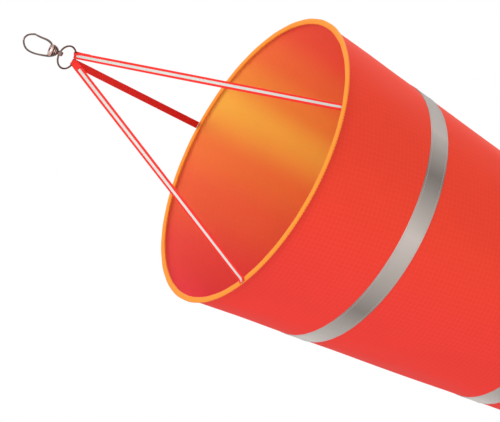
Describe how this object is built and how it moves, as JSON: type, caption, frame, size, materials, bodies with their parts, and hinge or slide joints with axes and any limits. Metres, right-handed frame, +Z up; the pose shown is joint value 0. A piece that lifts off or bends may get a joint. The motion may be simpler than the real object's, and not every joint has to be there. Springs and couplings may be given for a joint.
{
  "type": "windsock",
  "caption": "Red fabric windsock: a tapered open sleeve with reflective bands and an orange bound mouth, flown from webbing straps, a wire ring and a swivel snap hook",
  "frame": {"origin": "the inside of the snap hook's bow, where the line that holds the windsock seats", "axes": "+X along the sleeve's axis from the mouth to the tail, +Z up as it flies level, +Y to the left seen from behind the hook"},
  "size_m": [1.152, 0.3052, 0.3052],
  "materials": {
    "red_cloth": "matt woven nylon",
    "orange_binding": "matt woven tape",
    "red_webbing": "matt webbing",
    "silver_tape": "retroreflective silver tape",
    "dark_metal": "polished dark nickel plate"
  },
  "bodies": {
    "sock": {"sleeve": "red_cloth", "mouth_binding": "orange_binding", "reflective_band_1": "silver_tape", "reflective_band_2": "silver_tape", "reflective_band_3": "silver_tape", "reflective_band_4": "silver_tape", "bridle_strap_1": "red_webbing", "bridle_strap_2": "red_webbing", "bridle_strap_3": "red_webbing", "strap_stripe_1": "silver_tape", "strap_stripe_2": "silver_tape", "strap_stripe_3": "silver_tape", "wire_ring": "dark_metal", "swivel_eye": "dark_metal"},
    "hook": {"hook_frame": "dark_metal"},
    "gate": {"gate": "dark_metal"}
  },
  "joints": [
    {"name": "swivel", "type": "hinge", "parent": "sock", "child": "hook", "pos_m": [0, 0, 0], "axis": [0.9907, -0.1357, 0], "continuous": true},
    {"name": "gate_hinge", "type": "hinge", "parent": "hook", "child": "gate", "pos_m": [0.02771, -0.00695, 0.00281], "axis": [-0.0908, -0.6629, -0.7431], "range_deg": [0, 30], "stiffness_Nm_per_rad": 0.004, "springref_deg": -8.59}
  ]
}
